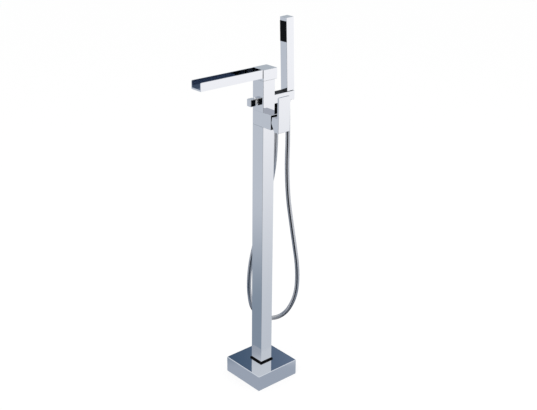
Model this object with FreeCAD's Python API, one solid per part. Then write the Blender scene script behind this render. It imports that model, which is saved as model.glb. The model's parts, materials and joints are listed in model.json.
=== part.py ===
import FreeCAD, Part
import math
import os

os.makedirs("parts", exist_ok=True)

# Floor standing bath filler, millimetres. +Z is up, +X points to the lever, the spout runs along -Y
# and the hand shower stands on the +Y side. The origin is on the floor, under the middle of the column.

# Fits and clearances
seat_gap = 0.1        # between two fixed pieces, one inside the other
running_gap = 0.05    # round a shaft or spool that turns or slides
body_gap = 0.3        # between pieces that move apart
edge_round = 0.8      # softened edge of the polished pieces
touching = 1e-6       # levels closer than this are the same level

# Floor flange and its cover
cover_side = 150.0
cover_height = 48.5
cover_wall = 2.0
cover_bevel = 1.6
cover_play = 0.5
flange_side = 122.0
flange_thickness = 8.0
flange_corner = 6.0
bolt_spacing = 92.0
bolt_hole_radius = 4.5
spigot_height = 38.0
spigot_wall = 4.0
gasket_height = 4.2
gasket_lip = 4.0

# Column, mixer and riser
column_width = 44.0
column_depth = 41.0
column_wall = 2.0
column_length = 787.5
mixer_height = 41.5
mixer_reach = 53.5
mixer_spigot = 10.0
riser_length = 87.5

# Screws with a socket for a key
foot_screw_height = 28.0
foot_screw_radius = 2.5
foot_screw_head_radius = 4.2
foot_screw_head = 4.0
key_radius = 1.25
key_depth = 2.5

# Supply pipes inside the column, with threaded unions for the flexible tails
supply_radius = 5.0
supply_wall = 1.0
supply_offset = 7.2
supply_seat = 6.0
union_radius = 6.6
union_length = 18.0
union_bottom = 4.0
union_shoulder = 1.0
tail_thread_radius = 4.8
tail_thread_length = 10.0
port_radius = 2.5

# Cartridge and lever
cartridge_radius = 17.2
cartridge_length = 29.5
cartridge_shell = 2.7
disc_radius = 13.0
disc_thickness = 4.0
disc_recess = 2.0
retainer_length = 5.5
retainer_bore = 11.2
carrier_radius = 10.8
pivot_setback = 9.0
tilt_pin_radius = 1.5
spindle_radius = 4.0
spindle_tail = 4.0
tilt_slot_height = 16.0
lever_gap = 1.0
lever_depth = 29.7
lever_thickness = 5.0
lever_width = 41.4
lever_corner = 4.0
lever_rise = 75.6
lever_drop = 23.5
hub_width = 40.0
hub_top_rise = 17.0
hub_top_setback = 3.5
hub_bottom_setback = 12.3
hub_cup_radius = 13.0
hub_cup_depth = 11.5
grub_radius = 2.5
grub_length = 10.0

# Diverter in the riser
diverter_rise = 23.5
diverter_body_height = 26.0
spool_radius = 5.0
spool_length = 9.0
spool_setback = 1.0
groove_inset = 2.25
seal_width = 1.8
seal_depth = 1.6
stem_radius = 2.5
stem_in_knob = 9.75
bonnet_radius = 6.8
bonnet_thread_radius = 6.0
bonnet_thread_length = 6.1
bonnet_flange = 4.0
knob_width = 17.0
knob_height = 20.5
knob_depth = 16.3
knob_round = 1.4
knob_play = 0.5
water_pipe_radius = 6.0
water_pipe_wall = 1.0
pipe_seat = 6.5

# Spout
head_height = 30.5
head_overhang = 7.8
head_spigot = 10.0
trough_width = 39.5
trough_height = 23.0
trough_length = 208.5
trough_wall = 2.5
trough_floor = 4.5
trough_tip_round = 3.0
tongue_width = 24.0
tongue_thickness = 2.4
tongue_length = 6.0
outlet_width = 28.0
outlet_height = 10.0
outlet_step = 1.5
chamber_depth = 24.0
flow_plate_thickness = 2.0
flow_slits = 7
flow_slit_width = 2.0
flow_slit_height = 7.0

# Hand shower holder
holder_rise = 15.0
holder_height = 25.0
holder_width = 30.0
holder_length = 80.0
holder_wall = 1.6
insert_thickness = 2.6
insert_recess = 0.5
sleeve_wall = 0.8
socket_reach = 67.2
stud_radius = 7.5
stud_bore = 4.0
stud_engagement = 4.0
stud_in_holder = 8.0
outlet_reach = 26.5
nipple_radius = 8.3
nipple_bore = 4.5
nipple_length = 9.0
nipple_collar_radius = 9.5
nipple_collar = 2.0
nipple_stub_radius = 6.0
nipple_stub = 6.0

# Hand shower
shower_lean = 2.2
shower_width = 26.3
shower_depth = 26.3
shower_length = 204.2
shower_stand_off = 1.2
shower_bore = 7.0
shower_closed_top = 12.0
panel_width = 25.5
panel_height = 56.8
panel_thickness = 0.8
panel_below_top = 9.8
plug_margin = 2.0
plug_depth = 3.0
nozzle_radius = 0.9
nozzle_height = 0.8
nozzle_sides = 8
nozzle_columns = 3
nozzle_rows = 9
nozzle_pitch_x = 6.0
nozzle_pitch_z = 5.6

# Hose and its nuts
hose_diameter = 13.5
hose_bore = 9.0
hose_first_run = 87.0
hose_last_run = 95.0
bend_share = 0.45     # part of the shorter run that each bend takes
cone_top_radius = 10.5
cone_bottom_radius = 8.6
cone_length = 34.2
nut_radius = 10.0
nut_length = 28.0
nut_hex_length = 14.0
nut_mouth_radius = 7.8
nut_bore = 5.0
nut_sides = 6
washer_thickness = 1.5

# Levels and places worked out from the sizes above
column_foot = flange_thickness
mixer_bottom = column_foot + column_length
mixer_top = mixer_bottom + mixer_height
mixer_axis = mixer_bottom + mixer_height / 2
head_bottom = mixer_top + riser_length
head_top = head_bottom + head_height
half_width = column_width / 2
half_depth = column_depth / 2
fill_width = column_width - 2 * (column_wall + seat_gap)
fill_depth = column_depth - 2 * (column_wall + seat_gap)
tail_top = union_bottom + tail_thread_length
supply_bottom = tail_top + union_shoulder
retainer_inner = mixer_reach - retainer_length
cartridge_back = retainer_inner - cartridge_length
disc_start = cartridge_back + cartridge_shell
carrier_start = disc_start + 2 * disc_thickness
pivot_x = mixer_reach - pivot_setback
lever_back = mixer_reach + lever_gap
lever_front = lever_back + lever_depth
plate_back = lever_front - lever_thickness
lever_bottom = mixer_axis - lever_drop
lever_top = mixer_axis + lever_rise
cup_end = lever_back + hub_cup_depth
spindle_end = plate_back - lever_gap
grub_x = (cup_end + spindle_end) / 2
diverter_shift = half_width - knob_width / 2
diverter_axis = mixer_top + diverter_rise
diverter_bottom = diverter_axis - diverter_body_height / 2
diverter_top = diverter_bottom + diverter_body_height
spool_start = -spool_setback
spool_end = spool_start + spool_length
bonnet_end = -half_depth + bonnet_thread_length
knob_back = -half_depth - bonnet_flange - knob_play
holder_bottom = mixer_top + holder_rise
holder_top = holder_bottom + holder_height
holder_axis = holder_bottom + holder_height / 2
holder_middle = half_depth + holder_length / 2
stud_start = fill_depth / 2 - stud_engagement
stud_end = half_depth + stud_in_holder
socket_y = half_depth + socket_reach
outlet_y = half_depth + outlet_reach
collar_bottom = holder_bottom - nipple_collar
nut_bottom = collar_bottom - nut_length
trough_bottom = head_top - trough_height
trough_tip = -half_depth - trough_length
trough_middle = -half_depth - trough_length / 2
slot_bottom = trough_bottom + trough_floor + outlet_step
shower_top = shower_stand_off + shower_length
panel_bottom = shower_top - panel_below_top - panel_height
panel_face = -shower_depth / 2 - panel_thickness
cone_bottom = shower_stand_off - cone_length
up = FreeCAD.Vector(0, 0, 1)
along_x = FreeCAD.Vector(1, 0, 0)
along_y = FreeCAD.Vector(0, 1, 0)


def point(x, y, z):
    return FreeCAD.Vector(x, y, z)


def on_mixer_axis(x):
    return point(x, 0, mixer_axis)


def on_spool_axis(y):
    return point(-diverter_shift, y, diverter_axis)


def on_holder_axis(y):
    return point(0, y, holder_axis)


def on_outlet_axis(z):
    return point(0, outlet_y, z)


def upright(z):
    return point(0, 0, z)


def block(width, depth, height, middle_x, middle_y, bottom):
    corner = point(middle_x - width / 2, middle_y - depth / 2, bottom)
    return Part.makeBox(width, depth, height, corner)


def rod(radius, start, end):
    run = end - start
    return Part.makeCylinder(radius, run.Length, start, run)


def cone(radius_start, radius_end, start, end):
    run = end - start
    return Part.makeCone(radius_start, radius_end, run.Length, start, run)


def pipe(radius, wall, start, end):
    return rod(radius, start, end).cut(rod(radius - wall, start, end))


def polygon(sides, flat_radius, middle, first, second):
    corner_radius = flat_radius / math.cos(math.pi / sides)
    corners = []
    for index in range(sides):
        angle = 2 * math.pi * index / sides
        corners.append(middle + (first * math.cos(angle) + second * math.sin(angle)) * corner_radius)
    return Part.Face(Part.makePolygon(corners + corners[:1]))


def edges_along(shape, direction):
    chosen = []
    for edge in shape.Edges:
        straight = isinstance(edge.Curve, Part.Line)
        if straight and edge.tangentAt(edge.FirstParameter).cross(direction).Length < touching:
            chosen.append(edge)
    return chosen


def edges_on_plane(shape, direction, level):
    chosen = []
    for edge in shape.Edges:
        if all(abs(vertex.Point.dot(direction) - level) < touching for vertex in edge.Vertexes):
            chosen.append(edge)
    return chosen


def softened(shape):
    return shape.makeFillet(edge_round, shape.Edges)


def square_tube(bottom, top):
    outer = block(column_width, column_depth, top - bottom, 0, 0, bottom)
    outer = outer.makeFillet(edge_round, edges_along(outer, up))
    inner_width = column_width - 2 * column_wall
    inner_depth = column_depth - 2 * column_wall
    return outer.cut(block(inner_width, inner_depth, top - bottom, 0, 0, bottom))


def key_socket(face, inward):
    return rod(key_radius, face, face + inward * key_depth)


def save(name, shape):
    shape.exportStep("parts/" + name + ".step")
    print(name, "solids", len(shape.Solids), "volume", round(shape.Volume, 1))


# Floor flange: a plate with four anchor holes and a square spigot that stands in the column's foot
def floor_flange():
    plate = block(flange_side, flange_side, flange_thickness, 0, 0, 0)
    plate = plate.makeFillet(flange_corner, edges_along(plate, up))
    shape = plate.fuse(block(fill_width, fill_depth, spigot_height, 0, 0, flange_thickness))
    opening_width = fill_width - 2 * spigot_wall
    opening_depth = fill_depth - 2 * spigot_wall
    shape = shape.cut(block(opening_width, opening_depth, flange_thickness + spigot_height, 0, 0, 0))
    for x in (-bolt_spacing / 2, bolt_spacing / 2):
        for y in (-bolt_spacing / 2, bolt_spacing / 2):
            shape = shape.cut(rod(bolt_hole_radius, point(x, y, 0), point(x, y, flange_thickness)))
    return shape.cut(foot_screw_shafts(foot_screw_radius + running_gap))


def foot_screw_shafts(radius):
    shafts = []
    for direction, outer, fill in screw_directions():
        level = up * foot_screw_height
        shafts.append(rod(radius, direction * (fill - spigot_wall) + level, direction * outer + level))
    return Part.Compound(shafts)


def screw_directions():
    return [(along_x, half_width, fill_width / 2), (-along_x, half_width, fill_width / 2),
            (along_y, half_depth, fill_depth / 2), (-along_y, half_depth, fill_depth / 2)]


def foot_screws():
    screws = []
    shafts = foot_screw_shafts(foot_screw_radius).Solids
    for shaft, (direction, outer, _) in zip(shafts, screw_directions()):
        face = direction * outer + up * foot_screw_height
        crown = face + direction * foot_screw_head
        head = rod(foot_screw_head_radius, face, crown).cut(key_socket(crown, -direction))
        screws.append(shaft.fuse(head).removeSplitter())
    return Part.Compound(screws)


# Base cover: a bevelled square shell, open below, with a hole that the column passes through
def base_cover():
    shell = block(cover_side, cover_side, cover_height, 0, 0, 0)
    bevelled = edges_along(shell, up) + edges_on_plane(shell, up, cover_height)
    shell = shell.makeChamfer(cover_bevel, bevelled)
    inner_side = cover_side - 2 * cover_wall
    shell = shell.cut(block(inner_side, inner_side, cover_height - cover_wall, 0, 0, 0))
    hole_width = column_width + 2 * cover_play
    hole_depth = column_depth + 2 * cover_play
    return shell.cut(block(hole_width, hole_depth, cover_height, 0, 0, 0))


def column_gasket():
    width = column_width + 2 * gasket_lip
    depth = column_depth + 2 * gasket_lip
    outer = block(width, depth, gasket_height, 0, 0, cover_height)
    outer = outer.makeFillet(edge_round, edges_on_plane(outer, up, cover_height + gasket_height))
    return outer.cut(block(column_width, column_depth, gasket_height, 0, 0, cover_height))


def column_tube():
    return square_tube(column_foot, mixer_bottom).cut(foot_screw_shafts(foot_screw_radius + running_gap))


def supply_pipe(side):
    y = side * supply_offset
    top = mixer_bottom + supply_seat - seat_gap
    return pipe(supply_radius, supply_wall, point(0, y, supply_bottom), point(0, y, top))


def supply_union(side):
    y = side * supply_offset
    top = point(0, y, union_bottom + union_length)
    sleeve = rod(union_radius, point(0, y, union_bottom), top)
    sleeve = sleeve.cut(rod(supply_radius + seat_gap, point(0, y, supply_bottom), top))
    sleeve = sleeve.cut(rod(supply_radius - supply_wall, point(0, y, tail_top), top))
    return sleeve.cut(rod(tail_thread_radius, point(0, y, union_bottom), point(0, y, tail_top)))


# Mixer: a block as deep as the column, bored along X for the cartridge, with a spigot above and below
def mixer_body():
    middle = (mixer_reach - half_width) / 2
    shape = softened(block(mixer_reach + half_width, column_depth, mixer_height, middle, 0, mixer_bottom))
    spigot_length = mixer_height + 2 * mixer_spigot
    shape = shape.fuse(block(fill_width, fill_depth, spigot_length, 0, 0, mixer_bottom - mixer_spigot))
    bore = rod(cartridge_radius + seat_gap, on_mixer_axis(cartridge_back), on_mixer_axis(mixer_reach))
    shape = shape.cut(bore)
    port_level = mixer_axis - supply_offset
    seat_top = mixer_bottom + supply_seat
    for y in (-supply_offset, supply_offset):
        inlet = point(0, y, mixer_bottom - mixer_spigot)
        seat = rod(supply_radius + seat_gap, inlet, point(0, y, seat_top))
        riser = rod(port_radius, point(0, y, seat_top), point(0, y, port_level))
        feed = rod(port_radius, point(0, y, port_level), point(cartridge_back, y, port_level))
        shape = shape.cut(seat).cut(riser).cut(feed)
    outlet_level = mixer_axis + supply_offset
    shape = shape.cut(rod(port_radius, upright(outlet_level), point(cartridge_back, 0, outlet_level)))
    shape = shape.cut(rod(port_radius, upright(outlet_level), upright(mixer_top)))
    pipe_end = upright(mixer_top - pipe_seat)
    return shape.cut(rod(water_pipe_radius + seat_gap, pipe_end, upright(mixer_top + mixer_spigot)))


# Cartridge: a housing with two ceramic discs, the carrier that turns in it and the ring nut that holds it
def with_ports(shape, start_x, end_x):
    low = mixer_axis - supply_offset
    high = mixer_axis + supply_offset
    for y, z in [(-supply_offset, low), (supply_offset, low), (0, high)]:
        shape = shape.cut(rod(port_radius, point(start_x, y, z), point(end_x, y, z)))
    return shape


def cartridge_housing():
    mouth = on_mixer_axis(retainer_inner)
    shape = rod(cartridge_radius, on_mixer_axis(cartridge_back), mouth)
    shape = shape.cut(rod(disc_radius + seat_gap, on_mixer_axis(disc_start), on_mixer_axis(carrier_start)))
    shape = shape.cut(rod(carrier_radius + running_gap, on_mixer_axis(carrier_start), mouth))
    return with_ports(shape, cartridge_back, disc_start)


def fixed_disc():
    end_x = disc_start + disc_thickness
    return with_ports(rod(disc_radius, on_mixer_axis(disc_start), on_mixer_axis(end_x)), disc_start, end_x)


def turning_disc():
    start_x = disc_start + disc_thickness + running_gap
    shape = rod(disc_radius - body_gap, on_mixer_axis(start_x), on_mixer_axis(carrier_start - running_gap))
    size = 2 * supply_offset
    return shape.cut(block(disc_recess, size, size, start_x + disc_recess / 2, 0, mixer_axis - size / 2))


def cartridge_retainer():
    ring = rod(cartridge_radius, on_mixer_axis(retainer_inner), on_mixer_axis(mixer_reach - edge_round))
    return ring.cut(rod(retainer_bore, on_mixer_axis(retainer_inner), on_mixer_axis(mixer_reach)))


def cartridge_carrier():
    shape = rod(carrier_radius, on_mixer_axis(carrier_start + running_gap), on_mixer_axis(retainer_inner))
    slot_start = pivot_x - math.hypot(spindle_tail, spindle_radius) - body_gap
    slot_length = retainer_inner - slot_start
    slot_width = 2 * (spindle_radius + body_gap)
    slot = block(slot_length, slot_width, tilt_slot_height, slot_start + slot_length / 2, 0,
                 mixer_axis - tilt_slot_height / 2)
    return shape.cut(slot).cut(cross_rod(tilt_pin_radius + seat_gap, carrier_radius))


def cross_rod(radius, reach):
    return rod(radius, point(pivot_x, -reach, mixer_axis), point(pivot_x, reach, mixer_axis))


def tilt_pin():
    reach = math.sqrt(carrier_radius ** 2 - tilt_pin_radius ** 2) - running_gap
    return cross_rod(tilt_pin_radius, reach)


# Lever: a spindle on the tilt pin, and a cast handle whose back slants away so that it can tilt
def lever_spindle():
    shape = rod(spindle_radius, on_mixer_axis(pivot_x - spindle_tail), on_mixer_axis(spindle_end))
    return shape.cut(cross_rod(tilt_pin_radius + running_gap, spindle_radius))


def lever_handle():
    side = -hub_width / 2
    hub_top = mixer_axis + hub_top_rise
    outline = [point(lever_back, side, mixer_axis),
               point(lever_back + hub_top_setback, side, hub_top),
               point(plate_back, side, hub_top),
               point(plate_back, side, lever_bottom),
               point(lever_back + hub_bottom_setback, side, lever_bottom)]
    hub = Part.Face(Part.makePolygon(outline + outline[:1])).extrude(along_y * hub_width)
    plate = block(lever_thickness, lever_width, lever_top - lever_bottom,
                  plate_back + lever_thickness / 2, 0, lever_bottom)
    corners = [edge for edge in edges_along(plate, along_x) if edge.CenterOfMass.z > mixer_axis]
    plate = plate.makeFillet(lever_corner, corners)
    plate = plate.makeFillet(edge_round, edges_on_plane(plate, along_x, lever_front))
    shape = hub.fuse(plate).removeSplitter()
    shape = shape.cut(rod(hub_cup_radius, on_mixer_axis(lever_back), on_mixer_axis(cup_end)))
    shape = shape.cut(rod(spindle_radius + seat_gap, on_mixer_axis(cup_end), on_mixer_axis(spindle_end)))
    return shape.cut(rod(grub_radius + seat_gap, point(grub_x, 0, lever_bottom), on_mixer_axis(grub_x)))


def grub_screw():
    top = mixer_axis - spindle_radius
    bottom = point(grub_x, 0, top - grub_length)
    return rod(grub_radius, bottom, point(grub_x, 0, top)).cut(key_socket(bottom, up))


# Riser and diverter: a brass block in the riser, a spool that slides along Y, and its pull knob in front
def riser_tube():
    bonnet_hole = rod(bonnet_thread_radius + seat_gap, on_spool_axis(-half_depth), on_spool_axis(0))
    stud_hole = rod(stud_radius + seat_gap, on_holder_axis(0), on_holder_axis(half_depth))
    return square_tube(mixer_top, head_bottom).cut(bonnet_hole).cut(stud_hole)


def diverter_body():
    shape = block(fill_width, fill_depth, diverter_body_height, 0, 0, diverter_bottom)
    front = -fill_depth / 2
    back = fill_depth / 2
    shower_port = spool_end + port_radius
    shape = shape.cut(rod(spool_radius, on_spool_axis(front), on_spool_axis(shower_port)))
    shape = shape.cut(rod(bonnet_thread_radius + seat_gap, on_spool_axis(front), on_spool_axis(bonnet_end)))
    pipe_hole = water_pipe_radius + seat_gap
    shape = shape.cut(rod(pipe_hole, upright(diverter_bottom), upright(diverter_bottom + pipe_seat)))
    shape = shape.cut(rod(pipe_hole, upright(diverter_top - pipe_seat), upright(diverter_top)))
    inlet_y = water_pipe_radius - port_radius
    for y, level in [(inlet_y, diverter_bottom), (-inlet_y, diverter_top)]:
        turn = point(0, y, diverter_axis)
        shape = shape.cut(rod(port_radius, on_spool_axis(y), turn))
        shape = shape.cut(rod(port_radius, point(0, y, level), turn))
    turn = point(0, shower_port, diverter_axis)
    shape = shape.cut(rod(port_radius, on_spool_axis(shower_port), turn))
    shape = shape.cut(rod(port_radius, turn, point(0, back, diverter_axis)))
    return shape.cut(rod(stud_radius + seat_gap, on_holder_axis(stud_start), on_holder_axis(back)))


def diverter_bonnet():
    face = -half_depth - bonnet_flange
    thread = rod(bonnet_thread_radius, on_spool_axis(-half_depth), on_spool_axis(bonnet_end))
    flange = rod(bonnet_radius, on_spool_axis(face), on_spool_axis(-half_depth))
    bore = rod(stem_radius + running_gap, on_spool_axis(face), on_spool_axis(bonnet_end))
    return thread.fuse(flange).removeSplitter().cut(bore)


def diverter_stem():
    return rod(stem_radius, on_spool_axis(knob_back - stem_in_knob), on_spool_axis(spool_end))


def groove_places():
    return (spool_start + groove_inset, spool_end - groove_inset)


def diverter_spool():
    shape = rod(spool_radius - running_gap, on_spool_axis(spool_start), on_spool_axis(spool_end))
    shape = shape.cut(rod(stem_radius + seat_gap, on_spool_axis(spool_start), on_spool_axis(spool_end)))
    for ring in seal_rings(spool_radius, seal_depth + running_gap):
        shape = shape.cut(ring)
    return shape


def seal_rings(radius, depth):
    half = seal_width / 2
    return [pipe(radius, depth, on_spool_axis(y - half), on_spool_axis(y + half)) for y in groove_places()]


def diverter_seals():
    return Part.Compound(seal_rings(spool_radius - running_gap, seal_depth))


def diverter_knob():
    shape = block(knob_width, knob_depth, knob_height, -diverter_shift, knob_back - knob_depth / 2,
                  diverter_axis - knob_height / 2)
    shape = shape.makeFillet(knob_round, edges_along(shape, along_y))
    shape = shape.makeFillet(edge_round, edges_on_plane(shape, along_y, knob_back - knob_depth))
    hole_end = on_spool_axis(knob_back - stem_in_knob)
    return shape.cut(rod(stem_radius + seat_gap, hole_end, on_spool_axis(knob_back)))


def mixed_water_pipe():
    return pipe(water_pipe_radius, water_pipe_wall, upright(mixer_top - pipe_seat + seat_gap),
                upright(diverter_bottom + pipe_seat - seat_gap))


def spout_pipe():
    return pipe(water_pipe_radius, water_pipe_wall, upright(diverter_top - pipe_seat + seat_gap),
                upright(head_bottom - seat_gap))


# Spout: a head on top of the riser and an open trough that carries the water as a sheet
def spout_head():
    head_depth = column_depth + head_overhang
    shape = softened(block(column_width, head_depth, head_height, 0, head_overhang / 2, head_bottom))
    spigot_bottom = head_bottom - head_spigot
    shape = shape.fuse(block(fill_width, fill_depth, head_spigot + edge_round, 0, 0, spigot_bottom))
    pipe_hole = rod(water_pipe_radius + seat_gap, upright(spigot_bottom), upright(head_bottom))
    water_way = rod(water_pipe_radius - water_pipe_wall, upright(head_bottom), upright(slot_bottom))
    chamber = block(outlet_width, chamber_depth, outlet_height, 0, 0, slot_bottom)
    slot = block(outlet_width, half_depth, outlet_height, 0, -half_depth / 2, slot_bottom)
    return shape.cut(pipe_hole).cut(water_way).cut(chamber).cut(slot).cut(tongue(seat_gap))


def tongue(gap):
    thickness = tongue_thickness + 2 * gap
    length = tongue_length + gap
    bottom = trough_bottom + (trough_floor - thickness) / 2
    return block(tongue_width + 2 * gap, length, thickness, 0, -half_depth + length / 2, bottom)


def spout_trough():
    shape = block(trough_width, trough_length, trough_height, 0, trough_middle, trough_bottom)
    top_edges = edges_on_plane(shape, up, head_top)
    tip_edge = [edge for edge in top_edges if abs(edge.CenterOfMass.y - trough_tip) < touching]
    shape = shape.makeFillet(trough_tip_round, tip_edge)
    channel = block(trough_width - 2 * trough_wall, trough_length, trough_height - trough_floor,
                    0, trough_middle, trough_bottom + trough_floor)
    return shape.cut(channel).fuse(tongue(0)).removeSplitter()


def flow_plate():
    width = outlet_width - 2 * seat_gap
    middle = -half_depth + flow_plate_thickness
    height = outlet_height - 2 * seat_gap
    shape = block(width, flow_plate_thickness, height, 0, middle, slot_bottom + seat_gap)
    slit_bottom = slot_bottom + (outlet_height - flow_slit_height) / 2
    for index in range(flow_slits):
        x = (index - (flow_slits - 1) / 2) * width / flow_slits
        slit = block(flow_slit_width, flow_plate_thickness, flow_slit_height, x, middle, slit_bottom)
        shape = shape.cut(slit)
    return shape


# Hand shower holder: a bar on the riser's back that carries water to the hose and the shower's socket
def leaning(shape):
    shape.rotate(upright(0), along_x, shower_lean)
    shape.translate(point(0, socket_y, holder_top))
    return shape


def cone_radius(height):
    share = (shower_stand_off - height) / cone_length
    return cone_top_radius + (cone_bottom_radius - cone_top_radius) * share


def socket_cone(gap):
    low = -holder_height - shower_stand_off
    high = shower_stand_off
    return leaning(cone(cone_radius(low) + gap, cone_radius(high) + gap, upright(low), upright(high)))


def holder_body():
    shape = softened(block(holder_width, holder_length, holder_height, 0, holder_middle, holder_bottom))
    shape = shape.cut(insert_room()).cut(socket_cone(body_gap + sleeve_wall + seat_gap))
    shape = shape.cut(rod(stud_radius + seat_gap, on_holder_axis(half_depth), on_holder_axis(stud_end)))
    shape = shape.cut(rod(stud_bore, on_holder_axis(half_depth), on_holder_axis(outlet_y)))
    shape = shape.cut(rod(stud_bore, on_outlet_axis(holder_bottom), on_outlet_axis(holder_axis)))
    stub_top = on_outlet_axis(holder_bottom + nipple_stub + seat_gap)
    return shape.cut(rod(nipple_stub_radius + seat_gap, on_outlet_axis(holder_bottom), stub_top))


def insert_room():
    width = holder_width - 2 * holder_wall
    length = holder_length - 2 * holder_wall
    depth = insert_thickness + insert_recess
    return block(width, length, depth, 0, holder_middle, holder_top - depth)


def holder_insert():
    width = holder_width - 2 * (holder_wall + seat_gap)
    length = holder_length - 2 * (holder_wall + seat_gap)
    insert_top = holder_top - insert_recess
    plate = block(width, length, insert_thickness, 0, holder_middle, insert_top - insert_thickness)
    keep = block(width, length, insert_top - holder_bottom, 0, holder_middle, holder_bottom)
    sleeve = socket_cone(body_gap + sleeve_wall).common(keep)
    return plate.fuse(sleeve).removeSplitter().cut(socket_cone(body_gap))


def holder_stud():
    return pipe(stud_radius, stud_radius - stud_bore, on_holder_axis(stud_start), on_holder_axis(stud_end))


def hose_outlet():
    stub_top = on_outlet_axis(holder_bottom + nipple_stub)
    thread_end = on_outlet_axis(collar_bottom - nipple_length)
    stub = rod(nipple_stub_radius, on_outlet_axis(holder_bottom), stub_top)
    collar = rod(nipple_collar_radius, on_outlet_axis(collar_bottom), on_outlet_axis(holder_bottom))
    thread = rod(nipple_radius, thread_end, on_outlet_axis(collar_bottom))
    return stub.fuse(collar).fuse(thread).removeSplitter().cut(rod(nipple_bore, thread_end, stub_top))


# Hand shower: a square bar that leans slightly, with a black spray panel and a threaded foot
def shower_bar():
    bar = softened(block(shower_width, shower_depth, shower_length, 0, 0, shower_stand_off))
    bore = rod(shower_bore, upright(shower_stand_off), upright(shower_top - shower_closed_top))
    return leaning(bar.cut(bore).cut(panel_plug()).cut(foot_thread(seat_gap)))


def panel_plug():
    width = panel_width - 2 * plug_margin
    height = panel_height - 2 * plug_margin
    return block(width, plug_depth, height, 0, (plug_depth - shower_depth) / 2, panel_bottom + plug_margin)


def spray_panel():
    middle = panel_face + panel_thickness / 2
    plate = block(panel_width, panel_thickness, panel_height, 0, middle, panel_bottom)
    return leaning(plate.fuse(panel_plug()))


def spray_nozzles():
    middle = panel_bottom + panel_height / 2
    nozzles = []
    for column in range(nozzle_columns):
        x = (column - (nozzle_columns - 1) / 2) * nozzle_pitch_x
        for row in range(nozzle_rows):
            z = middle + (row - (nozzle_rows - 1) / 2) * nozzle_pitch_z
            outline = polygon(nozzle_sides, nozzle_radius, point(x, panel_face, z), along_x, up)
            nozzles.append(leaning(outline.extrude(-along_y * nozzle_height)))
    return Part.Compound(nozzles)


def foot_thread(gap):
    start = upright(shower_stand_off - nipple_length)
    return rod(nipple_radius + gap, start, upright(shower_stand_off + nipple_length))


def shower_foot():
    start = upright(shower_stand_off - nipple_length)
    return leaning(foot_thread(0).cut(rod(nipple_bore, start, upright(shower_stand_off + nipple_length))))


# Nuts and washers
def cone_nut():
    shape = cone(cone_bottom_radius, cone_top_radius, upright(cone_bottom), upright(shower_stand_off))
    mouth = upright(shower_stand_off - nipple_length - washer_thickness)
    shape = shape.cut(rod(nipple_radius + running_gap, mouth, upright(shower_stand_off)))
    return leaning(shape.cut(rod(nut_bore, upright(cone_bottom), mouth)))


def washer(top):
    return pipe(nipple_radius, nipple_radius - nipple_bore, top - up * washer_thickness, top)


def shower_washer():
    return leaning(washer(upright(shower_stand_off - nipple_length)))


def outlet_washer():
    return washer(on_outlet_axis(collar_bottom - nipple_length))


def outlet_nut():
    hex_bottom = collar_bottom - nut_hex_length
    outline = polygon(nut_sides, nut_radius, on_outlet_axis(hex_bottom), along_x, along_y)
    prism = outline.extrude(up * nut_hex_length)
    taper = cone(nut_mouth_radius, nut_radius, on_outlet_axis(nut_bottom), on_outlet_axis(hex_bottom))
    mouth = on_outlet_axis(collar_bottom - nipple_length - washer_thickness)
    shape = prism.fuse(taper).cut(rod(nipple_radius + running_gap, mouth, on_outlet_axis(collar_bottom)))
    return shape.cut(rod(nut_bore, on_outlet_axis(nut_bottom), mouth))


# Hose: it leaves the holder's outlet, hangs in a loop behind the column and rises to the shower's nut
def hose_route():
    lean = math.radians(shower_lean)
    down_the_socket = point(0, math.sin(lean), -math.cos(lean))
    start = on_outlet_axis(nut_bottom)
    end = point(0, socket_y, holder_top) - down_the_socket * cone_bottom
    hanging = [(-6, 48, 655), (-23, 45, 578), (-42, 34, 498), (-62, 16, 412), (-72, 5, 336), (-74, 3, 270),
               (-71, 6, 210), (-58, 21, 176), (-36, 46, 157), (-10, 75, 157), (12, 100, 176),
               (25, 114, 210), (29, 119, 264), (27, 116, 330), (20, 110, 396), (12, 102, 472),
               (5, 96, 556), (0, 92, 650)]
    loop = [point(x, y, z) for x, y, z in hanging]
    return [start, start - up * hose_first_run] + loop + [end + down_the_socket * hose_last_run, end]


def hose_path(route):
    edges = []
    radii = []
    reached = route[0]
    for before, corner, after in zip(route, route[1:], route[2:]):
        run_in = corner - before
        run_out = after - corner
        turn = run_in.getAngle(run_out)
        setback = bend_share * min(run_in.Length, run_out.Length)
        run_in.normalize()
        run_out.normalize()
        arc_start = corner - run_in * setback
        arc_end = corner + run_out * setback
        radius = setback / math.tan(turn / 2)
        inward = (run_out - run_in).normalize()
        middle = corner + inward * (radius / math.cos(turn / 2) - radius)
        edges.append(Part.LineSegment(reached, arc_start).toShape())
        edges.append(Part.Arc(arc_start, middle, arc_end).toShape())
        radii.append(radius)
        reached = arc_end
    edges.append(Part.LineSegment(reached, route[-1]).toShape())
    print("hose bend radii", [round(radius) for radius in radii])
    return Part.Wire(edges)


def swept_tube(path, radius, start, direction):
    circle = Part.Wire(Part.makeCircle(radius, start, direction))
    return path.makePipeShell([circle], True, False)


def hose():
    route = hose_route()
    path = hose_path(route)
    direction = route[1] - route[0]
    outer = swept_tube(path, hose_diameter / 2, route[0], direction)
    bore = swept_tube(path, hose_bore / 2, route[0], direction)
    shape = outer.cut(bore)
    section = math.pi * (hose_diameter ** 2 - hose_bore ** 2) / 4
    print("hose length", round(path.Length), "volume against section times length",
          round(shape.Volume / (section * path.Length), 4))
    return shape


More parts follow.
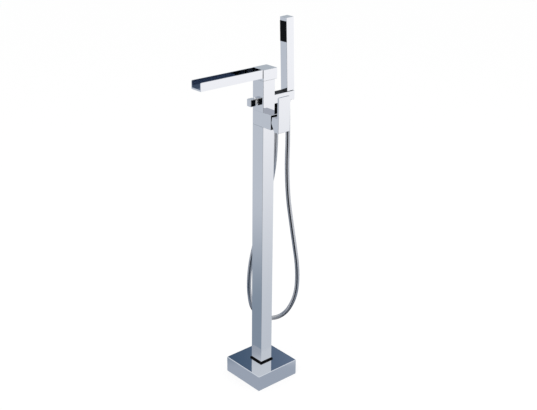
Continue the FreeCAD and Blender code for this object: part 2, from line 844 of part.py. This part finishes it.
save("floor_flange", floor_flange())
save("foot_screws", foot_screws())
save("base_cover", base_cover())
save("column_gasket", column_gasket())
save("column_tube", column_tube())
save("hot_supply_pipe", supply_pipe(-1))
save("cold_supply_pipe", supply_pipe(1))
save("hot_union", supply_union(-1))
save("cold_union", supply_union(1))
save("mixer_body", mixer_body())
save("cartridge_housing", cartridge_housing())
save("cartridge_fixed_disc", fixed_disc())
save("cartridge_turning_disc", turning_disc())
save("cartridge_retainer", cartridge_retainer())
save("cartridge_carrier", cartridge_carrier())
save("tilt_pin", tilt_pin())
save("lever_spindle", lever_spindle())
save("lever_handle", lever_handle())
save("lever_grub_screw", grub_screw())
save("riser_tube", riser_tube())
save("mixed_water_pipe", mixed_water_pipe())
save("diverter_body", diverter_body())
save("diverter_bonnet", diverter_bonnet())
save("diverter_stem", diverter_stem())
save("diverter_spool", diverter_spool())
save("diverter_seals", diverter_seals())
save("diverter_knob", diverter_knob())
save("spout_pipe", spout_pipe())
save("spout_head", spout_head())
save("spout_trough", spout_trough())
save("flow_plate", flow_plate())
save("holder_body", holder_body())
save("holder_insert", holder_insert())
save("holder_stud", holder_stud())
save("hose_outlet", hose_outlet())
save("outlet_nut", outlet_nut())
save("outlet_washer", outlet_washer())
save("shower_bar", shower_bar())
save("spray_panel", spray_panel())
save("spray_nozzles", spray_nozzles())
save("shower_foot", shower_foot())
save("shower_cone_nut", cone_nut())
save("shower_washer", shower_washer())
save("shower_hose", hose())
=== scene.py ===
import json
import math

import bmesh
import bpy
from mathutils import Matrix, Vector


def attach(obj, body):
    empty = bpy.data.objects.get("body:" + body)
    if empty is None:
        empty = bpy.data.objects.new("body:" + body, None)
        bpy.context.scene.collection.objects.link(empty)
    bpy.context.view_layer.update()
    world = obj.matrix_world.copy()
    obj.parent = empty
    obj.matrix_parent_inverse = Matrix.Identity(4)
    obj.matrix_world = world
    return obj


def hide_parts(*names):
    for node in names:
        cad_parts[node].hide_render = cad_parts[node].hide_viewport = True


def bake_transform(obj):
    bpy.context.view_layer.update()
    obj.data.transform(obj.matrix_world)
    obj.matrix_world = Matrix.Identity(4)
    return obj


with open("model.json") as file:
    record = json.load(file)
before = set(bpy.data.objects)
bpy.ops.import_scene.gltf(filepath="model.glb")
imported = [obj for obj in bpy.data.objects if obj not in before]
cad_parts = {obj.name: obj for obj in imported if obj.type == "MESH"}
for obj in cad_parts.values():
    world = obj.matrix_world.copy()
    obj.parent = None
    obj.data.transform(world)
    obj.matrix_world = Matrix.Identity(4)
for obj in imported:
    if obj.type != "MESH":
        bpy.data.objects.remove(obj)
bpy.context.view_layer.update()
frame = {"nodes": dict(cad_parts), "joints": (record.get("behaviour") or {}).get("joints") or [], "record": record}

mm = 0.001
scene = bpy.context.scene
joints = {joint["name"]: joint for joint in frame["joints"]}


# shader helpers: a socket that takes part in sums, and a tree that adds nodes
class Socket:
    def __init__(self, tree, end):
        self.tree = tree
        self.end = end

    def maths(self, operation, first, second):
        return self.tree.node("ShaderNodeMath", {"operation": operation}, {0: first, 1: second})

    def __add__(self, other):
        return self.maths("ADD", self, other)

    def __radd__(self, other):
        return self.maths("ADD", other, self)

    def __sub__(self, other):
        return self.maths("SUBTRACT", self, other)

    def __rsub__(self, other):
        return self.maths("SUBTRACT", other, self)

    def __mul__(self, other):
        return self.maths("MULTIPLY", self, other)

    def __rmul__(self, other):
        return self.maths("MULTIPLY", other, self)

    def __truediv__(self, other):
        return self.maths("DIVIDE", self, other)

    def __pow__(self, other):
        return self.maths("POWER", self, other)


class Tree:
    def __init__(self, owner):
        owner.use_nodes = True
        self.nodes = owner.node_tree.nodes
        self.links = owner.node_tree.links
        self.nodes.clear()

    def node(self, kind, settings=None, inputs=None, output=0):
        made = self.nodes.new(kind)
        for name, value in (settings or {}).items():
            setattr(made, name, value)
        for name, value in (inputs or {}).items():
            if isinstance(value, Socket):
                self.links.new(value.end, made.inputs[name])
            else:
                made.inputs[name].default_value = value
        return Socket(self, made.outputs[output])

    def finish(self, kind, surface):
        made = self.nodes.new(kind)
        self.links.new(surface.end, made.inputs["Surface"])

    def place(self, size=(1, 1, 1)):     # the piece's own coordinates, stretched
        here = self.node("ShaderNodeTexCoord", output="Object")
        return self.node("ShaderNodeMapping", inputs={"Vector": here, "Scale": size})

    def axes(self, system):     # the three parts of a texture coordinate
        way = self.node("ShaderNodeTexCoord", output=system)
        return [self.node("ShaderNodeSeparateXYZ", inputs={0: way}, output=axis) for axis in range(3)]

    def noise(self, scale, detail, size=(1, 1, 1)):
        inputs = {"Vector": self.place(size), "Scale": scale, "Detail": detail}
        return self.node("ShaderNodeTexNoise", inputs=inputs)

    def blendColours(self, share, first, second):
        inputs = {0: share, 6: first, 7: second}
        return self.node("ShaderNodeMix", {"data_type": "RGBA"}, inputs, output=2)

    def step(self, value, low, high):     # rises smoothly from 0 to 1
        inputs = {"Value": value, "From Min": low, "From Max": high}
        return self.node("ShaderNodeMapRange", {"interpolation_type": "SMOOTHSTEP"}, inputs)

    def bump(self, height, strength, distance):
        inputs = {"Height": height, "Strength": strength, "Distance": distance}
        return self.node("ShaderNodeBump", inputs=inputs)


def colour(red, green, blue):
    return (red, green, blue, 1.0)


def newMaterial(name, inputs):
    material = bpy.data.materials.new(name)
    tree = Tree(material)
    tree.finish("ShaderNodeOutputMaterial", tree.node("ShaderNodeBsdfPrincipled", inputs=inputs(tree)))
    return material


# the camera stands at the photograph's angle; degrees, metres and a lens in mm
view = {"turn": 48.43, "down": 22.65, "roll": 0.64, "back": 2.49425, "aside": 0.0162,
        "height": 1.59574, "lens": 63.64}


def makeCamera():
    turn = Matrix.Rotation(math.radians(view["turn"]), 4, "Z")
    tilt = Matrix.Rotation(math.radians(90 - view["down"]), 4, "X")
    roll = Matrix.Rotation(math.radians(view["roll"]), 4, "Z")
    stand = turn @ Vector((view["aside"], -view["back"], view["height"]))
    data = bpy.data.cameras.new("camera")
    data.lens = view["lens"]
    camera = bpy.data.objects.new("camera", data)
    camera.matrix_world = Matrix.Translation(stand) @ turn @ tilt @ roll
    scene.collection.objects.link(camera)
    scene.camera = camera
    return turn


turned = makeCamera()
print("camera ready")


# piece helpers
def newPiece(name, mesh, material, body, replaced=()):
    piece = bpy.data.objects.new(name, mesh)
    scene.collection.objects.link(piece)
    mesh.materials.clear()
    mesh.materials.append(material)
    if replaced:
        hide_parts(*replaced)
    if body:
        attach(piece, body)
    return piece


def meshOf(form, name, smooth=True):
    bmesh.ops.recalc_face_normals(form, faces=form.faces)
    for face in form.faces:
        face.smooth = smooth
    mesh = bpy.data.meshes.new(name)
    form.to_mesh(mesh)
    form.free()
    return mesh


# finishes, each with its values above the function that uses them

chrome = {"colour": colour(0.87, 0.87, 0.87), "roughness": 0.03, "haze": 0.03,
          "hazeScale": 9.0, "hazeDetail": 3.0, "hazePower": 2.0}


def chromeInputs(tree):
    haze = tree.noise(chrome["hazeScale"], chrome["hazeDetail"])
    return {"Base Color": chrome["colour"], "Metallic": 1.0,
            "Roughness": chrome["roughness"] + chrome["haze"] * haze ** chrome["hazePower"]}


# the channel colour is painted shade: the spout's channel is darkened where its walls shade it, not a thinner
# plating
channelShade = {"colour": colour(0.42, 0.47, 0.55), "halfWidth": 17.4 * mm, "floor": 936.3 * mm,
           "soft": 0.1 * mm, "softShare": 0.01}


def channelShadeInputs(tree):     # chrome with painted shade down in the spout's channel, standing in for the dark between its walls
    inputs = chromeInputs(tree)
    across, along, high = tree.axes("Object")
    edge = channelShade["halfWidth"] ** 2
    narrow, wide = edge * (1 - channelShade["softShare"]), edge * (1 + channelShade["softShare"])
    shadedInside = 1.0 - tree.step(across * across, narrow, wide)
    raised = tree.step(high, channelShade["floor"] - channelShade["soft"], channelShade["floor"] + channelShade["soft"])
    # painted shade: the base colour darkens inside the channel, above its floor
    inputs["Base Color"] = tree.blendColours(shadedInside * raised, chrome["colour"], channelShade["colour"])
    return inputs


# the slopes are those of the lever's back, above and below the mixer's axis
# the gap colour is painted shade, darkening the mixer's end and the lever's back where they face each other
gapShade = {"colour": colour(0.015, 0.015, 0.018), "mixerEnd": 53.5 * mm, "axis": 816.25 * mm,
       "apex": 54.5 * mm, "slopeUp": 3.5 / 17, "slopeDown": 12.3 / 23.5,
       "soft": 0.1 * mm, "softEnd": 0.3 * mm}


def gapShadeInputs(side):     # chrome with painted shade in the narrow gap between the mixer and the lever
    def inputs(tree):
        values = chromeInputs(tree)
        east, north, high = tree.axes("Object")
        if side == "mixer":
            shadedGap = tree.step(east, gapShade["mixerEnd"] - gapShade["soft"], gapShade["mixerEnd"])
        else:
            above = (high - gapShade["axis"]) * gapShade["slopeUp"]
            below = (gapShade["axis"] - high) * gapShade["slopeDown"]
            slope = tree.node("ShaderNodeMath", {"operation": "MAXIMUM"}, {0: above, 1: below})
            shadedGap = 1.0 - tree.step(east - (slope + gapShade["apex"]), gapShade["soft"], gapShade["softEnd"])
        # painted shade in the gap between the parts
        values["Base Color"] = tree.blendColours(shadedGap, chrome["colour"], gapShade["colour"])
        return values
    return inputs


# the valley colour is painted shade in the grooves between the ribs; the crests keep a plain metal colour
ribbedChromeGrooveShade = {"crest": colour(0.6, 0.61, 0.63), "valley": colour(0.03, 0.03, 0.035),
                "crestSpan": (0.8, 1.0), "roughness": 0.05, "wear": 0.06, "wearScale": 60.0,
                "wearDetail": 3.0}


def ribbedGrooveShadeInputs(tree):
    height = tree.node("ShaderNodeAttribute", {"attribute_name": "ribHeight"}, output="Fac")
    wear = tree.noise(ribbedChromeGrooveShade["wearScale"], ribbedChromeGrooveShade["wearDetail"])
    crest = tree.step(height, *ribbedChromeGrooveShade["crestSpan"])
    # painted shade: the base colour turns near black off the crests
    return {"Base Color": tree.blendColours(crest, ribbedChromeGrooveShade["valley"], ribbedChromeGrooveShade["crest"]),
            "Metallic": 1.0, "Roughness": ribbedChromeGrooveShade["roughness"] + ribbedChromeGrooveShade["wear"] * wear}


# grain stretches the turning marks round or along the piece
steel = {"light": colour(0.62, 0.63, 0.65), "dark": colour(0.48, 0.49, 0.51),
         "roughness": 0.32, "grain": (1, 1, 14)}
brass = {"light": colour(0.74, 0.56, 0.28), "dark": colour(0.58, 0.42, 0.2),
         "roughness": 0.26, "grain": (3, 3, 18)}
# painted shade: brass darkened nearly to black, for the retainer and the spindle in the shaded gap behind the
# lever
brassDarkenedAsShade = {"light": colour(0.035, 0.03, 0.022), "dark": colour(0.02, 0.018, 0.014),
             "roughness": 0.4, "grain": (3, 3, 18)}
turning = {"scale": 40.0, "detail": 4.0, "rough": 0.12, "bump": 0.15, "depth": 0.2 * mm}


def turnedInputs(values):     # metal with fine marks from turning or drawing
    def inputs(tree):
        marks = tree.noise(turning["scale"], turning["detail"], values["grain"])
        return {"Base Color": tree.blendColours(marks, values["dark"], values["light"]),
                "Metallic": 1.0, "Roughness": values["roughness"] + turning["rough"] * marks,
                "Normal": tree.bump(marks, turning["bump"], turning["depth"])}
    return inputs


rubber = {"light": colour(0.004, 0.004, 0.005), "dark": colour(0.002, 0.002, 0.003),
          "roughness": 0.55, "grain": 900.0, "depth": 0.2 * mm, "sheen": 0.03}
blackPlastic = {"light": colour(0.003, 0.004, 0.005), "dark": colour(0.002, 0.002, 0.003),
                "roughness": 0.35, "grain": 1400.0, "depth": 0.1 * mm, "sheen": 0.06}
whitePlastic = {"light": colour(0.82, 0.82, 0.79), "dark": colour(0.74, 0.74, 0.71),
                "roughness": 0.42, "grain": 700.0, "depth": 0.1 * mm, "sheen": 0.5}
nylon = {"light": colour(0.93, 0.93, 0.93), "dark": colour(0.9, 0.9, 0.9),
         "roughness": 0.35, "grain": 700.0, "depth": 0.1 * mm, "sheen": 0.5}
ceramic = {"light": colour(0.88, 0.86, 0.81), "dark": colour(0.8, 0.78, 0.73),
           "roughness": 0.16, "grain": 500.0, "depth": 0.05 * mm, "sheen": 0.5}
moulding = {"cloudScale": 12.0, "cloudDetail": 2.0, "grainDetail": 3.0, "rough": 0.06, "bump": 0.2}


def mouldedInputs(values):     # plastic, rubber and ceramic, finely grained
    def inputs(tree):
        cloud = tree.noise(moulding["cloudScale"], moulding["cloudDetail"])
        grain = tree.noise(values["grain"], moulding["grainDetail"])
        return {"Base Color": tree.blendColours(cloud, values["dark"], values["light"]),
                "Roughness": values["roughness"] + moulding["rough"] * cloud,
                "Normal": tree.bump(grain, moulding["bump"], values["depth"]),
                "Specular IOR Level": values["sheen"]}
    return inputs


finishes = {     # one for each of the frame's slots
    "chrome": newMaterial("polishedChrome", chromeInputs),
    "hose_metal": newMaterial("ribbedChromeGrooveShade", ribbedGrooveShadeInputs),
    "steel": newMaterial("satinSteel", turnedInputs(steel)),
    "brass": newMaterial("turnedBrass", turnedInputs(brass)),
    "black_rubber": newMaterial("blackRubber", mouldedInputs(rubber)),
    "black_plastic": newMaterial("blackPlastic", mouldedInputs(blackPlastic)),
    "white_plastic": newMaterial("whitePlastic", mouldedInputs(whitePlastic)),
    "ceramic": newMaterial("ceramic", mouldedInputs(ceramic)),
}
gapShadedBrass = newMaterial("brassDarkenedAsShade", turnedInputs(brassDarkenedAsShade))
ownFinishes = {     # for the nodes that look different from their slot
    "spout_trough": newMaterial("chromeWithChannelShade", channelShadeInputs),
    "mixer_body": newMaterial("mixerChromeGapShade", gapShadeInputs("mixer")),
    "lever_handle": newMaterial("leverChromeGapShade", gapShadeInputs("lever")),
    # painted shade: the retainer and spindle are darkened as the gap's shadow
    "cartridge_retainer": gapShadedBrass,
    "lever_spindle": gapShadedBrass,
    "hose_outlet": finishes["black_plastic"],
    "diverter_bonnet": newMaterial("whiteBush", mouldedInputs(nylon)),
}


def dressFrame():
    slots = {part["node"]: part["material_slot"] for part in frame["record"]["subparts"]}
    for name, node in frame["nodes"].items():
        node.data.materials.clear()
        node.data.materials.append(ownFinishes.get(name, finishes[slots[name]]))


dressFrame()
print("frame dressed")


# the hose: its solid's route as a smooth spline, with real ribs; the route is in mm

hose = {"diameter": 13.5 * mm, "length": 1.449, "pitch": 3.0 * mm, "ribEdge": 0.1, "valley": 0.94,
        "ferrule": 14.0 * mm, "roundness": 6, "order": 3, "steps": 24,
        "route": [(0, 47, 822), (0, 47, 735), (-7, 47, 655), (-23, 44, 578), (-41, 36, 498),
                  (-57, 21, 412), (-67, 10, 336), (-69.5, 7.5, 270), (-67, 10, 220), (-62, 16, 189),
                  (-49, 31, 166), (-31, 51, 155), (-11.5, 73, 158.5), (5.5, 92, 176.5),
                  (17, 105, 206), (24.5, 113.5, 240), (27.5, 117, 284), (26, 115.5, 340),
                  (20, 110, 396), (12, 102, 472), (3, 94, 556), (-1, 91, 650),
                  (0, 92.61, 749.09), (0, 88.97, 844.02)],
        "blendStart": (0, 48 * mm, 0), "blendEnd": (0, 88 * mm, 0)}


def newCurve(kind, points):
    curve = bpy.data.curves.new("route", "CURVE")
    curve.dimensions = "3D"
    spline = curve.splines.new(kind)
    spline.points.add(len(points) - 1)
    for point, place in zip(spline.points, points):
        point.co = (*place, 1.0)
    return curve, spline


def meshFromCurve(curve):
    carrier = bpy.data.objects.new("route", curve)
    mesh = bpy.data.meshes.new_from_object(carrier)
    bpy.data.objects.remove(carrier)
    return mesh


def splineLine(route):     # points along the NURBS spline
    curve, spline = newCurve("NURBS", [Vector(place) * mm for place in route])
    spline.order_u = hose["order"]
    spline.use_endpoint_u = True
    spline.resolution_u = hose["steps"]
    return [vertex.co.copy() for vertex in meshFromCurve(curve).vertices]


def evenly(path, distances):     # the path's points at these distances
    places = []
    index = 0
    reached = 0.0
    for distance in distances:
        run = path[index + 1] - path[index]
        while reached + run.length < distance and index < len(path) - 2:
            reached += run.length
            index += 1
            run = path[index + 1] - path[index]
        places.append(path[index] + run.normalized() * (distance - reached))
    return places


def hoseStations(total):     # distance along the hose, rib height
    count = round((total - 2 * hose["ferrule"]) / hose["pitch"])
    pitch = (total - 2 * hose["ferrule"]) / count
    edge = hose["ribEdge"] * pitch
    stations = [(0.0, 1.0), (hose["ferrule"] - edge, 1.0)]
    for rib in range(count):
        start = hose["ferrule"] + rib * pitch
        stations += [(start, 0.0), (start + edge, 1.0), (start + pitch - edge, 1.0)]
    end = total - hose["ferrule"]
    return stations + [(end, 0.0), (end + edge, 1.0), (total, 1.0)]


def makeHose():
    path = splineLine(hose["route"])
    total = sum((after - before).length for before, after in zip(path, path[1:]))
    stations = hoseStations(total)
    curve, spline = newCurve("POLY", evenly(path, [distance for distance, height in stations]))
    curve.bevel_depth = hose["diameter"] / 2
    curve.bevel_resolution = hose["roundness"]
    for point, (distance, height) in zip(spline.points, stations):
        point.radius = hose["valley"] + (1 - hose["valley"]) * height
    mesh = meshFromCurve(curve)
    around = len(mesh.vertices) // len(stations)
    heights = mesh.attributes.new("ribHeight", "FLOAT", "POINT")
    ringHeights = [height for distance, height in stations for side in range(around)]
    heights.data.foreach_set("value", ringHeights)
    form = bmesh.new()
    form.from_mesh(mesh)
    for edge in form.edges:
        edge.smooth = edge.verts[0].index // around != edge.verts[1].index // around
    bmesh.ops.holes_fill(form, edges=[edge for edge in form.edges if edge.is_boundary], sides=0)
    piece = newPiece("ribbedHose", meshOf(form, "ribbedHose"), finishes["hose_metal"], None,
                     ["shower_hose"])
    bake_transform(piece)
    print("hose", len(stations), "rings of", around, "length", round(total, 3))


# the share of a groove's height, and how deep it is there
sleeve = {"length": 42 * mm, "inner": 6.8 * mm, "top": 9.6 * mm, "tip": 7.5 * mm, "grooves": 6,
          "groove": [(0.25, 0.0), (0.4, 0.6 * mm), (0.6, 0.6 * mm), (0.75, 0.0)], "sides": 40}


def makeSleeve():     # the tapered rubber sleeve below the outlet's nut
    form = bmesh.new()
    top = Vector(hose["route"][0]) * mm
    outline = [(sleeve["inner"], 0.0), (sleeve["top"], 0.0)]
    for groove in range(sleeve["grooves"]):
        for share, depth in sleeve["groove"]:
            along = (groove + share) / sleeve["grooves"]
            radius = sleeve["top"] + (sleeve["tip"] - sleeve["top"]) * along - depth
            outline.append((radius, -along * sleeve["length"]))
    outline += [(sleeve["tip"], -sleeve["length"]), (sleeve["inner"], -sleeve["length"])]
    corners = [form.verts.new((top.x + radius, top.y, top.z + height)) for radius, height in outline]
    edges = [form.edges.new(pair) for pair in zip(corners, corners[1:] + corners[:1])]
    bmesh.ops.spin(form, geom=corners + edges, cent=top, axis=(0, 0, 1), angle=2 * math.pi,
                   steps=sleeve["sides"], use_merge=True)
    newPiece("hoseSleeve", meshOf(form, "hoseSleeve", False), finishes["black_rubber"], "stand")


makeHose()
makeSleeve()


gasket = {"width": 44 * mm, "depth": 41 * mm, "lip": 3.4 * mm, "height": 3.5 * mm,
          "base": 48.5 * mm, "round": 1.0 * mm, "segments": 4, "clear": 0.05 * mm}


def makeGasket():     # a moulded ring with a rounded lip round the column's foot
    form = bmesh.new()
    bmesh.ops.create_grid(form, x_segments=1, y_segments=1, size=0.5)
    outline = (gasket["width"] + 2 * gasket["lip"], gasket["depth"] + 2 * gasket["lip"], 1)
    bmesh.ops.scale(form, vec=outline, verts=form.verts)
    bmesh.ops.translate(form, vec=(0, 0, gasket["base"]), verts=form.verts)
    middle = form.faces[:]
    bmesh.ops.inset_individual(form, faces=middle, thickness=gasket["lip"] - gasket["clear"],
                               use_even_offset=True)
    bmesh.ops.delete(form, geom=middle, context="FACES")
    raised = bmesh.ops.extrude_face_region(form, geom=form.faces[:])["geom"]
    corners = [item for item in raised if isinstance(item, bmesh.types.BMVert)]
    bmesh.ops.translate(form, vec=(0, 0, gasket["height"]), verts=corners)
    outer = (gasket["width"] + gasket["lip"]) / 2
    middleHeight = gasket["base"] + gasket["height"] / 2
    rim = [edge for edge in form.edges
           if min(max(abs(end.co.x), abs(end.co.y)) for end in edge.verts) > outer
           and max(end.co.z for end in edge.verts) > middleHeight]
    bmesh.ops.bevel(form, geom=rim, offset=gasket["round"], segments=gasket["segments"],
                    profile=0.5, affect="EDGES", material=-1)
    newPiece("footGasket", meshOf(form, "footGasket", False), finishes["black_rubber"], "stand",
             ["column_gasket"])


makeGasket()
print("gasket ready")


# the hand shower's conical nozzles and its panel with rounded edges

shower = {"depth": 26.3 * mm, "panelWidth": 25.5 * mm, "panelHeight": 56.8 * mm,
          "panelThickness": 0.8 * mm, "panelTop": 195.6 * mm, "panelEdge": 0.35 * mm,
          "edgeSegments": 3, "plugMargin": 2.0 * mm, "plugDepth": 3.0 * mm,
          "nozzleRows": 9, "nozzleColumns": 3, "pitchUp": 5.6 * mm, "pitchAcross": 6.0 * mm,
          "nozzleWide": 1.1 * mm, "nozzleNarrow": 0.6 * mm, "nozzleLength": 0.8 * mm,
          "nozzleSides": 16}


def showerStand():     # from upright over the socket to the leaning shower
    turn = joints["shower_swivel"]
    lean = math.atan2(-turn["axis"][1], turn["axis"][2])
    return Matrix.Translation(turn["pos_m"]) @ Matrix.Rotation(lean, 4, "X")


def makeNozzles():
    outward = Matrix.Rotation(math.radians(90), 4, "X")
    middle = shower["panelTop"] - shower["panelHeight"] / 2
    front = -shower["depth"] / 2 - shower["panelThickness"] - shower["nozzleLength"] / 2
    form = bmesh.new()
    for column in range(shower["nozzleColumns"]):
        across = (column - (shower["nozzleColumns"] - 1) / 2) * shower["pitchAcross"]
        for row in range(shower["nozzleRows"]):
            level = middle + (row - (shower["nozzleRows"] - 1) / 2) * shower["pitchUp"]
            place = showerStand() @ Matrix.Translation((across, front, level)) @ outward
            bmesh.ops.create_cone(form, cap_ends=True, segments=shower["nozzleSides"],
                                  radius1=shower["nozzleWide"], radius2=shower["nozzleNarrow"],
                                  depth=shower["nozzleLength"], matrix=place)
    newPiece("sprayNozzles", meshOf(form, "sprayNozzles", False), finishes["black_rubber"],
             "hand_shower", ["spray_nozzles"])


def addRoundedBox(form, size, middle, edge):
    made = bmesh.ops.create_cube(form, size=1.0)["verts"]
    bmesh.ops.scale(form, vec=size, verts=made)
    bmesh.ops.translate(form, vec=middle, verts=made)
    edges = list({side for vertex in made for side in vertex.link_edges})
    bmesh.ops.bevel(form, geom=edges, offset=edge, segments=shower["edgeSegments"], profile=0.5,
                    affect="EDGES", material=-1)


def makePanel():
    form = bmesh.new()
    face = -shower["depth"] / 2
    level = shower["panelTop"] - shower["panelHeight"] / 2
    around = 2 * shower["plugMargin"]
    plate = (shower["panelWidth"], shower["panelThickness"], shower["panelHeight"])
    plug = (shower["panelWidth"] - around, shower["plugDepth"], shower["panelHeight"] - around)
    addRoundedBox(form, plate, (0, face - plate[1] / 2, level), shower["panelEdge"])
    addRoundedBox(form, plug, (0, face + plug[1] / 2, level), shower["panelEdge"] / 2)
    bmesh.ops.transform(form, matrix=showerStand(), verts=form.verts)
    newPiece("sprayPanel", meshOf(form, "sprayPanel", False), finishes["black_plastic"],
             "hand_shower", ["spray_panel"])


makeNozzles()
makePanel()
print("hand shower ready")


# the floor, the lamps and the room that the chrome mirrors: each Span is two heights of a
# direction (-1 straight down, 1 straight up), and each Width how far it turns from a heading

room = {"floorSize": 14.0, "floorColour": colour(0.9, 0.9, 0.9), "floorShare": 0.72, "glow": 1.08,
        "light": 0.85, "white": colour(1, 1, 1), "atZenith": 0.0001, "sides": (-0.4, 0.4),
        "right": colour(1.0, 1.01, 1.06), "rightLow": colour(0.56, 0.605, 0.68),
        "rightSpan": (-0.53, -0.22),
        "left": colour(0.54, 0.585, 0.665), "leftLow": colour(0.24, 0.298, 0.38),
        "leftSpan": (-0.485, -0.375),
        "band": colour(0.44, 0.47, 0.55), "leftBand": colour(0.38, 0.43, 0.52),
        "bandSpan": (0.08, 0.26),
        "raised": colour(0.68, 0.73, 0.81), "raisedSpan": (0.36, 0.5),
        "leftRaisedSpan": (0.522, 0.533),
        "behind": colour(0.46, 0.51, 0.57), "behindSpan": (0.02, 0.24),
        "behindWidth": (-0.93, -0.75),
        "night": colour(0.053, 0.096, 0.165), "dusk": colour(0.16, 0.21, 0.31),
        "nightSpan": (0.3, 0.42), "duskWidth": (-0.07, 0.09),
        "front": colour(0.003, 0.004, 0.006), "frontLow": colour(0.04, 0.055, 0.085),
        "frontLowSpan": (-0.46, -0.36), "frontTurn": -8.0, "frontWidth": (0.76, 0.86),
        "frontBelow": (-0.53, -0.47, -0.27, -0.23), "frontAbove": (0.18, 0.22, 0.36, 0.48),
        "ground": colour(0.36, 0.41, 0.5), "groundSpan": (-0.535, -0.525),
        "under": colour(0.05, 0.055, 0.065), "underSpan": (-0.74, -0.62),
        "zenith": colour(0.9, 0.91, 0.93), "zenithSpan": (0.6, 0.75)}


def makeFloor():
    form = bmesh.new()
    bmesh.ops.create_grid(form, x_segments=1, y_segments=1, size=room["floorSize"])
    floor = bpy.data.objects.new("floor", meshOf(form, "floor"))
    scene.collection.objects.link(floor)
    floor.visible_glossy = False
    material = bpy.data.materials.new("paleFloor")
    tree = Tree(material)
    seen = tree.node("ShaderNodeLightPath", output="Is Camera Ray")
    matte = tree.node("ShaderNodeBsdfDiffuse", inputs={"Color": room["floorColour"]})
    lit = {"Color": room["white"], "Strength": room["glow"]}
    glow = tree.node("ShaderNodeEmission", inputs=lit)
    share = seen * room["floorShare"]
    surface = tree.node("ShaderNodeMixShader", inputs={0: share, 1: matte, 2: glow})
    tree.finish("ShaderNodeOutputMaterial", surface)
    floor.data.materials.append(material)


def makeWorld():
    world = bpy.data.worlds.new("room")
    scene.world = world
    tree = Tree(world)
    east, north, high = tree.axes("Generated")
    level = (east * east + north * north + room["atZenith"]) ** 0.5

    def toward(degrees):     # how far a direction turns from the camera, 1 straight at it
        way = turned @ Matrix.Rotation(math.radians(degrees), 4, "Z") @ Vector((0, -1, 0))
        return (east * way.x + north * way.y) / level

    def between(low, lowFull, highFull, top):
        return tree.step(high, low, lowFull) * (1.0 - tree.step(high, highFull, top))

    def above(span, lower, upper):
        return tree.blendColours(tree.step(high, *room[span]), lower, upper)

    def backdrop(shade, strength):
        return tree.node("ShaderNodeBackground", inputs={"Color": shade, "Strength": strength})

    rightward = toward(90.0)
    right = above("rightSpan", room["rightLow"], room["right"])
    right = above("raisedSpan", above("bandSpan", right, room["band"]), room["raised"])
    left = above("leftSpan", room["leftLow"], room["left"])
    left = above("leftRaisedSpan", above("bandSpan", left, room["leftBand"]), room["raised"])
    walls = tree.blendColours(tree.step(rightward, *room["sides"]), left, right)

    evening = tree.blendColours(tree.step(rightward, *room["duskWidth"]), room["night"], room["dusk"])
    behind = above("behindSpan", room["right"], room["behind"])
    behind = above("nightSpan", behind, evening)
    away = 1.0 - tree.step(toward(0.0), *room["behindWidth"])
    walls = tree.blendColours(away, walls, behind)

    front = between(*room["frontBelow"]) + between(*room["frontAbove"])
    front = front * tree.step(toward(room["frontTurn"]), *room["frontWidth"])
    walls = tree.blendColours(front, walls, above("frontLowSpan", room["frontLow"], room["front"]))
    walls = above("groundSpan", room["ground"], walls)
    walls = above("underSpan", room["under"], walls)
    walls = above("zenithSpan", walls, room["zenith"])

    glossy = tree.node("ShaderNodeLightPath", output="Is Glossy Ray")
    seen = tree.node("ShaderNodeLightPath", output="Is Camera Ray")
    plain = backdrop(room["white"], room["light"])
    surface = tree.node("ShaderNodeMixShader", inputs={0: glossy, 1: plain, 2: backdrop(walls, 1.0)})
    shown = backdrop(room["white"], 1.0)
    surface = tree.node("ShaderNodeMixShader", inputs={0: seen, 1: surface, 2: shown})
    tree.finish("ShaderNodeOutputWorld", surface)


lampTarget = (0, 0, 0.5)
lamps = {"key": {"place": (0.6, -2.2, 2.8), "size": 1.6, "power": 18.0},
         "fill": {"place": (2.4, 1.2, 2.2), "size": 2.0, "power": 10.0}}


def makeLamps():
    for name, values in lamps.items():
        data = bpy.data.lights.new(name, "AREA")
        data.size = values["size"]
        data.energy = values["power"]
        lamp = bpy.data.objects.new(name, data)
        place = Vector(values["place"])
        aim = (Vector(lampTarget) - place).to_track_quat("-Z", "Y").to_matrix().to_4x4()
        lamp.matrix_world = Matrix.Translation(place) @ aim
        lamp.visible_glossy = False
        scene.collection.objects.link(lamp)


makeFloor()
makeWorld()
makeLamps()
scene.view_settings.view_transform = "Standard"
print("room ready")
